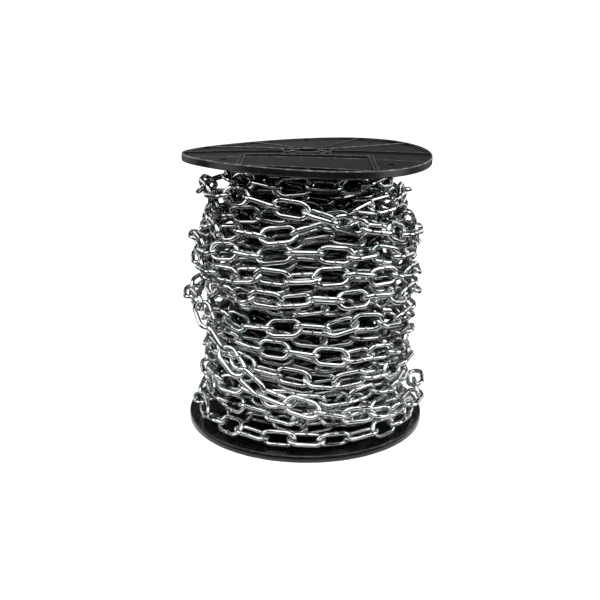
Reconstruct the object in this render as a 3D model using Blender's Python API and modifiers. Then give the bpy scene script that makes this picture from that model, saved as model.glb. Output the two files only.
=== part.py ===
"""A black plastic reel that stands on its end, wound with bright zinc-plated steel chain.

Run it with blender --background --python part.py, or from Blender's text editor.
Lengths are in metres, but for the routes of the turns and the core's skin, which are in
millimetres, as their comments say. +Z is up, and the front of the reel faces -Y.
Angles around the reel are in degrees: 0 is the front, and they grow towards +X.
"""

import math
from typing import NamedTuple

import bmesh
import bpy
from mathutils import Matrix, Vector

MM = 0.001
OBJECT_NAME = "chain_reel"

# The reel
FLANGE_RADIUS = 0.120
REEL_HEIGHT = 0.270
FLANGE_THICKNESS = 0.007
FLANGE_WEB = 0.0052
RIM_WIDTH = 0.0024
HUB_RADIUS = 0.024
BORE_RADIUS = 0.013
SPIGOT_HEIGHT = 0.006
SPIGOT_WALL = 0.003
BARREL_RADIUS = 0.038
BARREL_WALL = 0.0025
RIB_WIDTH = 0.002
RIB_HEIGHT = 0.0068
RIB_SUNK = 0.6  # how deep a rib is sunk into the web and the rim, as a share of their thickness
SPOKE_ANGLES = (90.0, 121.0, 151.0, 209.0, 239.0, 270.0)
PANEL_HALF_WIDTH = 0.059  # the front half's plain panel, between four ribs
PANEL_SIDE_WIDTH = 0.004
PANEL_FRONT = 0.103
PANEL_BACK = 0.030
TIE_HOLE_RADIUS = 0.00275
TIE_HOLE_CIRCLE = 0.098
TIE_HOLE_ANGLES = (50.0, 137.0, 223.0, 310.0)
TOP_FLANGE_WARP = 0.40  # height gained for each square metre of x times y, as the moulding sprang
TOP_FLANGE_DOME = 0.0024  # how much higher its middle stands than its rim
ROUND_STEPS = 40
INNER_STEPS = 24  # for what the chain hides
GAP = 0.0003  # the clearance that touching pieces keep

# The chain: long links of round wire, the pitch being the length inside a link
WIRE_DIAMETER = 0.0045
LINK_PITCH = 0.0275
LINK_WIDTH = 0.0195
PLAIN_WIRE = 0.5 * WIRE_DIAMETER * math.sqrt(math.pi)  # a square wire of the same section area
SIDE_INSET = 0.0005  # how much narrower than the real one a plain link is
CORNER_CHAMFER = 0.006
JOINT_OVERLAP = 0.0013  # how far a turn's links run into each other, which makes them one solid
NODE_CLEARANCE = 0.0024  # what the first link of a node gives up, to clear the node before it
ROLL_SCATTER_DEG = 10.0

# The buried turns, as one ridged solid: how far it lies inside the outer turns, in millimetres
CORE_GROOVE_DEPTH = 16.0  # under a turn
CORE_RIDGE_DEPTH = 7.0  # at most, between two turns
CORE_SLOPE = 0.85  # how fast the skin may rise beside a turn
CORE_LOW, CORE_HIGH = 7.6, 261.5
CORE_END_RADIUS = 64.8
LINK_DEPTH = 15.4  # how far inside a turn's middle line, and to each side of it, the skin keeps clear
LINK_MARGIN_DEG = 15  # how far a chain's last link reaches past its route's end

# Where each turn is read: the angles of the columns below
COLUMN_ANGLES = (-90, -60, -30, 0, 30, 60, 90, 180)
STATION_STEP = 30
TURN_STATIONS = 360 // STATION_STEP


class Turn(NamedTuple):
    """One turn of the chain: its height and radius in millimetres at each column angle.

    flat_at is the angle of one link's middle, and flat_roll how far that link is rolled from flat.
    """

    heights: tuple
    radii: tuple
    flat_at: float
    flat_roll: float


# The outer layer, as one chain from the top flange down to the bottom one
WOUND_TURNS = (
    Turn((248, 248, 249, 249, 249, 248, 247, 240), (76, 76, 76, 76, 76, 76, 80, 93), -9, 0),
    Turn((238, 240, 241, 231, 216, 203, 200, 201), (100, 102, 104, 106, 110, 110, 106, 90), -8, 0),
    Turn((205, 206, 208, 214, 225, 231, 232, 216), (95, 101, 105, 100, 90, 92, 94, 114), 1, 45),
    Turn((187, 187, 191, 194, 191, 183, 180, 180), (108, 106, 104, 104, 104, 105, 105, 106), 14, 0),
    Turn((167, 167, 171, 173, 171, 163, 160, 160), (106, 107, 105, 105, 105, 106, 107, 106), 12, 0),
    Turn((148, 148, 151, 152, 151, 144, 138, 122), (98, 100, 104, 106, 106, 107, 107, 107), 9, 45),
    Turn((117, 119, 121, 123, 126, 121, 116, 105), (97, 96, 95, 100, 102, 103, 103, 102), 3, 45),
    Turn((99, 102, 102, 99, 94, 92, 91, 86), (98, 94, 94, 99, 101, 103, 103, 103), 13, 0),
    Turn((79, 80, 80, 73, 72, 71, 71, 66), (97, 94, 94, 97, 101, 103, 103, 103), 24, 0),
    Turn((57, 56, 54, 50, 52, 50, 50, 46), (101, 99, 96, 94, 94, 97, 100, 100), -15, -45),
    Turn((38, 37, 37, 33, 33, 32, 32, 26), (98, 97, 97, 97, 96, 96, 96, 101), -14, -45),
    Turn((18, 18, 19, 18, 18, 18, 18, 18), (108, 108, 109, 110, 110, 110, 108, 100), 14, 0),
)

# The last of the chain: it leaves the layer below, goes round the back and falls across the front
LOOSE_TURNS = (
    Turn((139, 139, 138, 138, 138, 138, 138, 138), (87, 87, 87, 87, 87, 87, 87, 92), -15, 0),
    Turn((134, 130, 76, 51, 40, 35, 35, 35), (113, 115, 114, 114, 115, 116, 116, 116), -2, 0),
)
WOUND_START_DEG = -172
WOUND_END_DEG = 100
LOOSE_START_DEG = -52
LOOSE_END_DEG = 112


class Link(NamedTuple):
    """A link's middle, the way it runs, the way its width points, and its angle along the route."""

    middle: Vector
    run: Vector
    side: Vector
    angle: float


def clear_scene():
    for thing in list(bpy.data.objects):
        bpy.data.objects.remove(thing, do_unlink=True)


def new_collection(name, parent, rendered=True):
    made = bpy.data.collections.new(name)
    made.hide_render = not rendered
    parent.children.link(made)
    return made


def new_material(name, colour, roughness, metallic):
    made = bpy.data.materials.new(name)
    made.use_nodes = True
    shader = made.node_tree.nodes["Principled BSDF"]
    shader.inputs["Base Color"].default_value = (*colour, 1.0)
    shader.inputs["Roughness"].default_value = roughness
    shader.inputs["Metallic"].default_value = metallic
    return made


def plastic(name):
    return new_material(name + "_plastic", (0.018, 0.018, 0.019), 0.42, 0.0)


def zinc(name):
    return new_material(name + "_zinc", (0.62, 0.64, 0.65), 0.24, 1.0)


def helper(thing, workshop):
    """Moves a cutter, or a piece that a Boolean joins on, into the collection that isn't rendered."""
    for holder in list(thing.users_collection):
        holder.objects.unlink(thing)
    workshop.objects.link(thing)
    thing.hide_render = True
    thing.display_type = "WIRE"
    return thing


def boolean(target, other, operation):
    modifier = target.modifiers.new(other.name, "BOOLEAN")
    modifier.operation = operation
    modifier.solver = "EXACT"
    modifier.object = other


def turned_solid(name, profile, collection, steps=ROUND_STEPS):
    """A closed outline of (radius, height) points turned round the Z axis.

    The outline runs down its outer side.
    """
    mesh = bpy.data.meshes.new(name)
    count = len(profile)
    edges = [(i, (i + 1) % count) for i in range(count)]
    mesh.from_pydata([(radius, 0, height) for radius, height in profile], edges, [])
    thing = bpy.data.objects.new(name, mesh)
    collection.objects.link(thing)
    screw = thing.modifiers.new("turn", "SCREW")
    screw.steps = screw.render_steps = steps
    screw.use_merge_vertices = True
    screw.merge_threshold = 0.00001
    screw.use_smooth_shade = True
    return thing


def box(name, size, centre):
    bpy.ops.mesh.primitive_cube_add(size=1, location=centre)
    thing = bpy.context.object
    thing.name = name
    thing.scale = size
    return thing


def flange_outline():
    """The flange's section with its open face up and its winding face at height 0."""
    outer, rim = FLANGE_RADIUS, FLANGE_RADIUS - RIM_WIDTH
    spigot_outer = BARREL_RADIUS - BARREL_WALL - GAP
    spigot_inner = spigot_outer - SPIGOT_WALL
    return (
        (BORE_RADIUS, FLANGE_THICKNESS), (HUB_RADIUS, FLANGE_THICKNESS), (HUB_RADIUS, FLANGE_WEB),
        (rim, FLANGE_WEB), (rim, FLANGE_THICKNESS), (outer, FLANGE_THICKNESS), (outer, 0.0),
        (spigot_outer, 0.0), (spigot_outer, -SPIGOT_HEIGHT), (spigot_inner, -SPIGOT_HEIGHT),
        (spigot_inner, 0.0), (BORE_RADIUS, 0.0),
    )


def rib_boxes():
    """Size, centre and turn of each stiffening rib: the spokes, and the four round the front panel."""
    bottom = (1 - RIB_SUNK) * FLANGE_WEB
    height = RIB_HEIGHT - bottom
    middle = bottom + 0.5 * height
    buried = FLANGE_RADIUS - (1 - RIB_SUNK) * RIM_WIDTH
    spoke = buried - HUB_RADIUS + RIM_WIDTH
    reach = buried - 0.5 * spoke
    for angle in SPOKE_ANGLES:
        turn = math.radians(angle)
        centre = (reach * math.sin(turn), -reach * math.cos(turn), middle)
        yield (RIB_WIDTH, spoke, height), centre, turn
    side_end = math.sqrt(buried**2 - (PANEL_HALF_WIDTH + 0.5 * PANEL_SIDE_WIDTH) ** 2)
    side_length = side_end - PANEL_BACK
    for side in (-1, 1):
        centre = (side * PANEL_HALF_WIDTH, -(PANEL_BACK + 0.5 * side_length), middle)
        yield (PANEL_SIDE_WIDTH, side_length, height), centre, 0
    front_width = 2 * math.sqrt(buried**2 - (PANEL_FRONT + 0.5 * RIB_WIDTH) ** 2)
    yield (front_width, RIB_WIDTH, height), (0, -PANEL_FRONT, middle), 0
    yield (2 * PANEL_HALF_WIDTH, RIB_WIDTH, height), (0, -(PANEL_BACK + RIB_WIDTH), middle), 0


def flange(name, collection, workshop):
    """One flange as moulded: disc, rim, hub, ribs, tie holes and the spigot that carries the barrel."""
    body = turned_solid(name + "_blank", flange_outline(), workshop)
    for number, (size, centre, turn) in enumerate(rib_boxes()):
        rib = box(f"{name}_rib_{number}", size, centre)
        rib.rotation_euler.z = turn
        boolean(body, helper(rib, workshop), "UNION")
    for number, angle in enumerate(TIE_HOLE_ANGLES):
        turn = math.radians(angle)
        place = (TIE_HOLE_CIRCLE * math.sin(turn), -TIE_HOLE_CIRCLE * math.cos(turn), 0)
        bpy.ops.mesh.primitive_cylinder_add(
            vertices=12, radius=TIE_HOLE_RADIUS, depth=4 * FLANGE_THICKNESS, location=place
        )
        drill = bpy.context.object
        drill.name = f"{name}_tie_hole_{number}"
        boolean(body, helper(drill, workshop), "DIFFERENCE")
    helper(body, workshop)
    bpy.context.view_layer.update()
    graph = bpy.context.evaluated_depsgraph_get()
    mesh = bpy.data.meshes.new_from_object(body.evaluated_get(graph))
    mesh.name = name
    thing = bpy.data.objects.new(name, mesh)
    collection.objects.link(thing)
    mesh.materials.append(plastic(name))
    return thing


def dome(radius):
    """How much higher the top flange stands at a radius than at its rim."""
    return TOP_FLANGE_DOME * (1 - (radius / FLANGE_RADIUS) ** 2)


def build_flanges(collection, workshop, root):
    bottom = flange("bottom_flange", collection, workshop)
    bottom.rotation_euler = (math.pi, 0, 0)
    bottom.location = (0, 0, FLANGE_THICKNESS)
    bottom.parent = root
    top = flange("top_flange", collection, workshop)
    for vertex in top.data.vertices:
        vertex.co.z += TOP_FLANGE_WARP * vertex.co.x * vertex.co.y + dome(vertex.co.xy.length)
    top.location = (0, 0, REEL_HEIGHT - FLANGE_THICKNESS)
    top.parent = root


def build_barrel(collection, root):
    low = FLANGE_THICKNESS + GAP
    dip = TOP_FLANGE_WARP * BARREL_RADIUS**2 / 2  # where the warped flange comes lowest
    high = REEL_HEIGHT - FLANGE_THICKNESS + dome(BARREL_RADIUS) - dip - 2 * GAP
    inner, outer = BARREL_RADIUS - BARREL_WALL, BARREL_RADIUS
    outline = ((inner, high), (outer, high), (outer, low), (inner, low))
    barrel = turned_solid("barrel", outline, collection)
    barrel.data.materials.append(plastic("barrel"))
    barrel.parent = root


def smooth(values, place):
    """Reads a Catmull-Rom curve through evenly spaced values, place being counted in steps."""
    last = len(values) - 1
    index = min(max(int(place), 0), last - 1)
    step = place - index
    before, start, end, after = (values[min(max(index + k, 0), last)] for k in (-1, 0, 1, 2))
    return 0.5 * (
        2 * start
        + (end - before) * step
        + (2 * before - 5 * start + 4 * end - after) * step**2
        + (3 * start - before - 3 * end + after) * step**3
    )


def stations(rows):
    """One value for every station of 30 degrees, from -90 of the first turn, in a straight line
    between the columns."""
    angles = [360 * turn + angle for turn in range(len(rows)) for angle in COLUMN_ANGLES]
    values = [value for row in rows for value in row]
    found = []
    column = 0
    for angle in range(angles[0], angles[-1] + 1, STATION_STEP):
        while angle > angles[column + 1]:
            column += 1
        share = (angle - angles[column]) / (angles[column + 1] - angles[column])
        found.append(values[column] + share * (values[column + 1] - values[column]))
    return found


class Route:
    """The middle line of a chain that winds round the reel."""

    def __init__(self, turns, start, end):
        self.heights = stations([turn.heights for turn in turns])
        self.radii = stations([turn.radii for turn in turns])
        self.start = start
        self.end = end
        self.step = 1.0
        count = int((end - start) / self.step) + 1
        self.lengths = [0.0]
        for number in range(1, count):
            here = self.point(start + number * self.step)
            before = self.point(start + (number - 1) * self.step)
            self.lengths.append(self.lengths[-1] + (here - before).length)

    def place(self, angle):
        """The route's radius and height in millimetres."""
        place = (angle - COLUMN_ANGLES[0]) / STATION_STEP
        return smooth(self.radii, place), smooth(self.heights, place)

    def point(self, angle):
        radius, height = self.place(angle)
        turn = math.radians(angle)
        return Vector((radius * math.sin(turn), -radius * math.cos(turn), height)) * MM

    def passes(self, angle):
        """Its place each time that it comes round to an angle."""
        first = math.ceil((self.start - LINK_MARGIN_DEG - angle) / 360)
        last = math.floor((self.end + LINK_MARGIN_DEG - angle) / 360)
        return [self.place(angle + 360 * turn) for turn in range(first, last + 1)]

    def length_at(self, angle):
        place = (angle - self.start) / self.step
        index = min(int(place), len(self.lengths) - 2)
        return self.lengths[index] + (place - index) * (self.lengths[index + 1] - self.lengths[index])

    def angle_at(self, length):
        low, high = 0, len(self.lengths) - 1
        while high - low > 1:
            middle = (low + high) // 2
            low, high = (middle, high) if self.lengths[middle] <= length else (low, middle)
        share = (length - self.lengths[low]) / (self.lengths[high] - self.lengths[low])
        return self.start + (low + share) * self.step


def turns_in_order():
    """The outer turns' heights and radii at every station, with turns that cross put in order of
    height, and the last turn filled up."""
    heights = stations([turn.heights for turn in WOUND_TURNS])
    radii = stations([turn.radii for turn in WOUND_TURNS])
    short = -len(heights) % TURN_STATIONS + 1
    heights, radii = heights + heights[-1:] * short, radii + radii[-1:] * short
    for first in range(TURN_STATIONS):
        column = slice(first, None, TURN_STATIONS)
        pairs = sorted(zip(heights[column], radii[column]), reverse=True)
        heights[column], radii[column] = zip(*pairs)
    return heights, radii


def clear_radius(angle, height, routes):
    """The radius up to which the core clears every turn near a height, all in millimetres."""
    limits = [FLANGE_RADIUS / MM]
    for route in routes:
        for radius, middle in route.passes(angle):
            away = abs(height - middle)
            if away < LINK_DEPTH:
                limits.append(radius - LINK_DEPTH + CORE_SLOPE * max(0, away - WIRE_DIAMETER / MM))
    return min(limits)


def core_columns(routes):
    """The (radius, height) points down the core's skin, at each of its angles round the reel.

    Down a column, grooves that the outer turns lie in alternate with the ridges between them.
    """
    heights, radii = turns_in_order()
    for step in range(INNER_STEPS):
        column = [(CORE_END_RADIUS, CORE_HIGH)]
        places = [TURN_STATIONS * (n + step / INNER_STEPS) for n in range(len(WOUND_TURNS))]
        turns = [(smooth(radii, place), smooth(heights, place)) for place in places]
        for (radius, height), (next_radius, next_height) in zip(turns, turns[1:]):
            column.append((radius - CORE_GROOVE_DEPTH, height))
            half = 0.5 * (height - next_height)
            depth = max(CORE_RIDGE_DEPTH, CORE_GROOVE_DEPTH - CORE_SLOPE * half)
            column.append((min(radius, next_radius) - depth, height - half))
        column.append((turns[-1][0] - CORE_GROOVE_DEPTH, turns[-1][1]))
        column.append((CORE_END_RADIUS, CORE_LOW))
        angle = COLUMN_ANGLES[0] + 360 * step / INNER_STEPS
        yield angle, [
            (min(radius, clear_radius(angle, height, routes)), height) for radius, height in column
        ]


def core_faces(rows):
    """The core's faces over its columns of points, each of so many rows.

    The groove is one long screw thread, so the last column meets the first one a turn further
    down. Inside its skin, each column ends with the bore's lower and upper point.
    """
    bottom = rows - 3
    for step in range(INNER_STEPS - 1):
        here, after = step * rows, (step + 1) * rows
        for row in range(rows):
            below = (row + 1) % rows
            yield here + row, here + below, after + below, after + row
    last = (INNER_STEPS - 1) * rows
    for row in range(1, bottom - 3):
        yield last + row, last + row + 1, row + 3, row + 2
    yield last, last + 1, 3, 2, 1, 0
    yield *range(last + bottom - 3, last + bottom + 1), bottom, bottom - 1
    for row in range(bottom, rows):
        below = (row + 1) % rows
        yield last + row, last + below, below, row


def build_core(routes, collection, root):
    """The buried turns as one solid, ridged where they lie, with the barrel through it."""
    bore = (BARREL_RADIUS + GAP) / math.cos(math.pi / INNER_STEPS)
    points = []
    for angle, column in core_columns(routes):
        turn = math.radians(angle)
        ends = [(bore / MM, CORE_LOW), (bore / MM, CORE_HIGH)]
        for radius, height in [*column, *ends]:
            points.append(
                Vector((radius * math.sin(turn), -radius * math.cos(turn), height)) * MM
            )
    mesh = bpy.data.meshes.new("chain_core")
    mesh.from_pydata(points, [], list(core_faces(len(points) // INNER_STEPS)))
    mesh.shade_smooth()
    mesh.materials.append(zinc("chain_core"))
    core = bpy.data.objects.new("chain_core", mesh)
    collection.objects.link(core)
    core.parent = root


def link_places(route, turns):
    """Yields (length along the route, spacing, roll) of every link.

    Each turn has one link at its own angle and roll. The links between share out the small rest
    of the length, and of the quarter turn that each link makes on the one before.
    """
    marks = [(route.length_at(360 * n + t.flat_at), t.flat_roll) for n, t in enumerate(turns)]
    first, last = marks[0], marks[-1]
    for count in range(int((first[0] - 0.5 * LINK_PITCH) / LINK_PITCH), 0, -1):
        yield first[0] - count * LINK_PITCH, LINK_PITCH, first[1] - 90 * count
    for (start, roll), (end, end_roll) in zip(marks, marks[1:]):
        count = math.ceil((end - start) / LINK_PITCH)
        spare = (end_roll - roll - 90 * count + 90) % 180 - 90
        for number in range(count):
            share = number / count
            spacing = (end - start) / count
            yield start + share * (end - start), spacing, roll + 90 * number + spare * share
    for count in range(int((route.lengths[-1] - last[0] - 0.5 * LINK_PITCH) / LINK_PITCH) + 1):
        yield last[0] + count * LINK_PITCH, LINK_PITCH, last[1] + 90 * count


def roll_scatter(number):
    """A fixed, uneven lean for each link, as loosely laid chain has. Neighbours lean much alike."""
    return ROLL_SCATTER_DEG * (math.sin(0.9 * number) + 0.4 * math.sin(2.3 * number + 0.7))


def links_of(route, turns):
    links = []
    for number, (length, spacing, roll) in enumerate(link_places(route, turns)):
        angle = route.angle_at(length)
        back = route.point(route.angle_at(length - 0.5 * spacing))
        front = route.point(route.angle_at(length + 0.5 * spacing))
        middle, run = (back + front) / 2, (front - back).normalized()
        outward = Vector((middle.x, middle.y, 0))
        outward = (outward - outward.dot(run) * run).normalized()
        tilt = math.radians(roll + roll_scatter(number))
        side = math.cos(tilt) * outward.cross(run) + math.sin(tilt) * outward
        links.append(Link(middle, run, side, angle))
    return links


def block(size):
    """A box round the origin."""
    shape = bmesh.new()
    bmesh.ops.create_cube(shape, size=1, matrix=Matrix.Diagonal((*size, 1)))
    return shape


def link_mesh(workshop, clearance=0.0):
    """One plain link round the origin: its length along X, its width along Y, chamfered corners.

    A clearance makes the end at -X thinner on its inside.
    """
    outside = block((LINK_PITCH + 2 * WIRE_DIAMETER, LINK_WIDTH - SIDE_INSET, PLAIN_WIRE))
    upright = [edge for edge in outside.edges if abs(edge.verts[0].co.z - edge.verts[1].co.z) > MM]
    bmesh.ops.bevel(outside, geom=upright, offset=CORNER_CHAMFER, segments=1, affect="EDGES")
    length = LINK_PITCH - JOINT_OVERLAP + clearance
    inside = block((length, LINK_WIDTH - SIDE_INSET - 2 * PLAIN_WIRE, 3 * PLAIN_WIRE))
    bmesh.ops.translate(inside, vec=(-0.5 * clearance, 0, 0), verts=inside.verts)
    pieces = []
    for name, shape in (("plain_link", outside), ("plain_link_hole", inside)):
        mesh = bpy.data.meshes.new(name)
        shape.to_mesh(mesh)
        shape.free()
        thing = bpy.data.objects.new(name, mesh)
        pieces.append(helper(thing, workshop))
    boolean(pieces[0], pieces[1], "DIFFERENCE")
    bpy.context.view_layer.update()
    graph = bpy.context.evaluated_depsgraph_get()
    return bpy.data.meshes.new_from_object(pieces[0].evaluated_get(graph))


def link_copies(name, links, shapes):
    """Some links that don't touch, as one mesh: for each link, a copy of its shape."""
    copies = bmesh.new()
    for link, shape in zip(links, shapes):
        before = len(copies.verts)
        copies.from_mesh(shape)
        copies.verts.ensure_lookup_table()
        turn = Matrix((link.run, link.side, link.run.cross(link.side))).transposed().to_4x4()
        place = Matrix.Translation(link.middle) @ turn
        bmesh.ops.transform(copies, matrix=place, verts=copies.verts[before:])
    mesh = bpy.data.meshes.new(name)
    copies.to_mesh(mesh)
    copies.free()
    return mesh


def chain_piece(name, links, plain, first, collection, workshop, root):
    """One stretch of chain as a single solid: every other link, joined to the links between."""
    shapes = [first] + [plain] * (len(links) - 1)
    thing = bpy.data.objects.new(name, link_copies(name, links[0::2], shapes[0::2]))
    collection.objects.link(thing)
    rest = link_copies(name + "_rest", links[1::2], shapes[1::2])
    boolean(thing, helper(bpy.data.objects.new(name + "_rest", rest), workshop), "UNION")
    thing.data.materials.append(zinc(name))
    thing.parent = root


def build_chain(wound, loose, collection, workshop, root):
    shapes = link_mesh(workshop), link_mesh(workshop, NODE_CLEARANCE)
    links = links_of(wound, WOUND_TURNS)
    for number in range(len(WOUND_TURNS)):
        low, high = 360 * number - 180, 360 * number + 180
        turn = [link for link in links if low <= link.angle < high]
        chain_piece(f"chain_turn_{number + 1:02d}", turn, *shapes, collection, workshop, root)
    links = links_of(loose, LOOSE_TURNS)
    chain_piece("chain_free_run", links, *shapes, collection, workshop, root)


def main():
    clear_scene()
    scene = bpy.context.scene.collection
    collection = new_collection(OBJECT_NAME, scene)
    workshop = new_collection("workshop", scene, rendered=False)
    root = bpy.data.objects.new(OBJECT_NAME, None)
    collection.objects.link(root)
    build_flanges(collection, workshop, root)
    build_barrel(collection, root)
    last_turn = 360 * (len(WOUND_TURNS) - 1)
    wound = Route(WOUND_TURNS, WOUND_START_DEG, last_turn + WOUND_END_DEG)
    loose = Route(LOOSE_TURNS, LOOSE_START_DEG, 360 + LOOSE_END_DEG)
    build_core((wound, loose), collection, root)
    build_chain(wound, loose, collection, workshop, root)


main()
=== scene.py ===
"""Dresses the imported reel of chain: moulded black flanges, round-wire links with bright zinc
plating, the buried turns behind them, and a plain pale studio.

Lengths are in metres, and +Z is up. The front of the reel faces -Y. Angles round the reel are in
degrees: 0 is the front, and they grow towards +X.
"""

import logging
import math
from dataclasses import dataclass
from enum import Enum
from typing import Any, Iterator, NamedTuple, Sequence

import bmesh
import bpy
import numpy as np
from bpy.types import Material, Object
from mathutils import Matrix, Vector


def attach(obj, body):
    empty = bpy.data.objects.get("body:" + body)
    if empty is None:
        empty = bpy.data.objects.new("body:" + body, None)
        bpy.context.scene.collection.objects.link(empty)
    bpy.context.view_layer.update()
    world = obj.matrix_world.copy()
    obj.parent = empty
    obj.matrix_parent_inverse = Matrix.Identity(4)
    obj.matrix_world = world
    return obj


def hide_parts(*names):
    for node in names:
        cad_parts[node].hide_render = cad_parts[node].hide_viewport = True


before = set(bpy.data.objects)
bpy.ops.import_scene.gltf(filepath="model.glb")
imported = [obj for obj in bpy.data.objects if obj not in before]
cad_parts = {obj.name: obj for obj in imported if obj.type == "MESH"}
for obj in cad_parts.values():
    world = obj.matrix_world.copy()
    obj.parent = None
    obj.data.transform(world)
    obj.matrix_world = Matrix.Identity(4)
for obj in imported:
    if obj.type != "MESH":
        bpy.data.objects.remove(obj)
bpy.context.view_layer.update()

MM = 0.001
BODY = "root"
PLASTIC_SLOT = "reel_plastic"
CHAIN_SLOT = "zinc_chain"
GOLDEN = 0.618034
SHARP_EDGE = math.radians(50)
NOISE_PATCH = 0.5

# A turn's heights and radii are given at the column angles, and its route runs through stations.
COLUMN_ANGLES = (-90, -60, -30, 0, 30, 60, 90, 180)
STATION_STEP = 30
TURN_STATIONS = 360 // STATION_STEP

# Joints stray up and outward from the route, in waves that have a rate for each link and a phase.
JOINT_SCATTER = 0.0017
JOINT_WAVES = ((2.4, 0.5), (3.7, 1.9))

# Links roll a few degrees astray, in waves that have a share, a rate for each link and a phase.
ROLL_SCATTER = 24.0
ROLL_WAVES = ((1.0, 0.9, 0.0), (0.4, 2.3, 0.7))

Triple = tuple[float, float, float]
Colour = Triple
log = logging.getLogger("reel_of_chain")


# Shader maths


class Signal:
    """One output of a shader node, which can stand in a sum or a product."""

    def __init__(self, graph: "Graph", socket: bpy.types.NodeSocket) -> None:
        """Wraps a socket of a graph."""
        self.graph = graph
        self.socket = socket

    def _maths(self, operation: str, first: Any, second: Any) -> "Signal":
        """Adds one Math node, and returns its result."""
        settings = {"operation": operation}
        return self.graph.node("ShaderNodeMath", settings, {0: first, 1: second})

    def __add__(self, other: Any) -> "Signal":
        """This plus another."""
        return self._maths("ADD", self, other)

    __radd__ = __add__

    def __sub__(self, other: Any) -> "Signal":
        """This less another."""
        return self._maths("SUBTRACT", self, other)

    def __rsub__(self, other: Any) -> "Signal":
        """A number less this."""
        return self._maths("SUBTRACT", other, self)

    def __mul__(self, other: Any) -> "Signal":
        """This times another."""
        return self._maths("MULTIPLY", self, other)

    __rmul__ = __mul__

    def at_least(self, other: Any) -> "Signal":
        """The greater of this and another."""
        return self._maths("MAXIMUM", self, other)

    def above(self, start: float, end: float) -> "Signal":
        """A mask that is 0 at or below start, 1 at or above end, and smooth between."""
        settings = {"interpolation_type": "SMOOTHSTEP", "clamp": True}
        values = {"Value": self, "From Min": start, "From Max": end}
        return self.graph.node("ShaderNodeMapRange", settings, values)


class Graph:
    """The node tree of one material, with its Principled shader."""

    def __init__(self, name: str) -> None:
        """Makes a new material of that name."""
        self.material = bpy.data.materials.new(name)
        self.material.use_nodes = True
        self.tree = self.material.node_tree
        self.shader = self.tree.nodes["Principled BSDF"]

    def node(
        self,
        kind: str,
        settings: dict[str, Any] | None = None,
        values: dict[Any, Any] | None = None,
        output: int | str = 0,
    ) -> Signal:
        """Adds a node.

        Args:
            kind: the node's type.
            settings: its own properties, which are set first.
            values: a number, colour or Signal for each of its sockets, by name or number.
            output: the name or number of the output to read.

        Returns:
            That output.
        """
        made = self.tree.nodes.new(kind)
        for name, value in (settings or {}).items():
            setattr(made, name, value)
        self.feed(made, values or {})
        return Signal(self, made.outputs[output])

    def feed(self, node: bpy.types.Node, values: dict[Any, Any]) -> None:
        """Gives a node's sockets, by name or number, their numbers, colours or Signals."""
        for name, value in values.items():
            if isinstance(value, Signal):
                self.tree.links.new(value.socket, node.inputs[name])
            else:
                node.inputs[name].default_value = value

    def finish(self, values: dict[str, Any]) -> Material:
        """Sets or links the shader's own sockets, and returns the material."""
        self.feed(self.shader, values)
        return self.material

    def attribute(self, name: str) -> Signal:
        """A number that the mesh holds for each of its points."""
        settings = {"attribute_type": "GEOMETRY", "attribute_name": name}
        return self.node("ShaderNodeAttribute", settings, output="Fac")

    def noise(
        self, size: float, detail: float = 2.0, stretch: Triple = (1, 1, 1), spin: float = 0.0
    ) -> Signal:
        """Soft noise from 0 to 1.

        Args:
            size: how wide its patches are, in metres.
            detail: how many finer layers it has.
            stretch: how many times longer the patches are along each axis.
            spin: how far the patches are turned round the vertical, in degrees.

        Returns:
            The noise.
        """
        where = self.node("ShaderNodeTexCoord", output="Object")
        turn = {"Vector": where, "Rotation": (0.0, 0.0, math.radians(spin)), "Scale": stretch}
        place = self.node("ShaderNodeMapping", {"vector_type": "TEXTURE"}, turn)
        values = {"Vector": place, "Scale": NOISE_PATCH / size, "Detail": detail}
        return self.node("ShaderNodeTexNoise", None, values)

    def mix(self, share: Any, first: Any, second: Any) -> Signal:
        """The first colour where share is 0, and the second where it is 1."""
        first, second = ((*c, 1.0) if isinstance(c, tuple) else c for c in (first, second))
        return self.node("ShaderNodeMix", {"data_type": "RGBA"}, {0: share, 6: first, 7: second}, 2)

    def bump(self, height: Signal, depth: float) -> Signal:
        """A normal for a relief of that depth in metres."""
        return self.node("ShaderNodeBump", None, {"Height": height, "Distance": depth}, "Normal")


# Finishes


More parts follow.
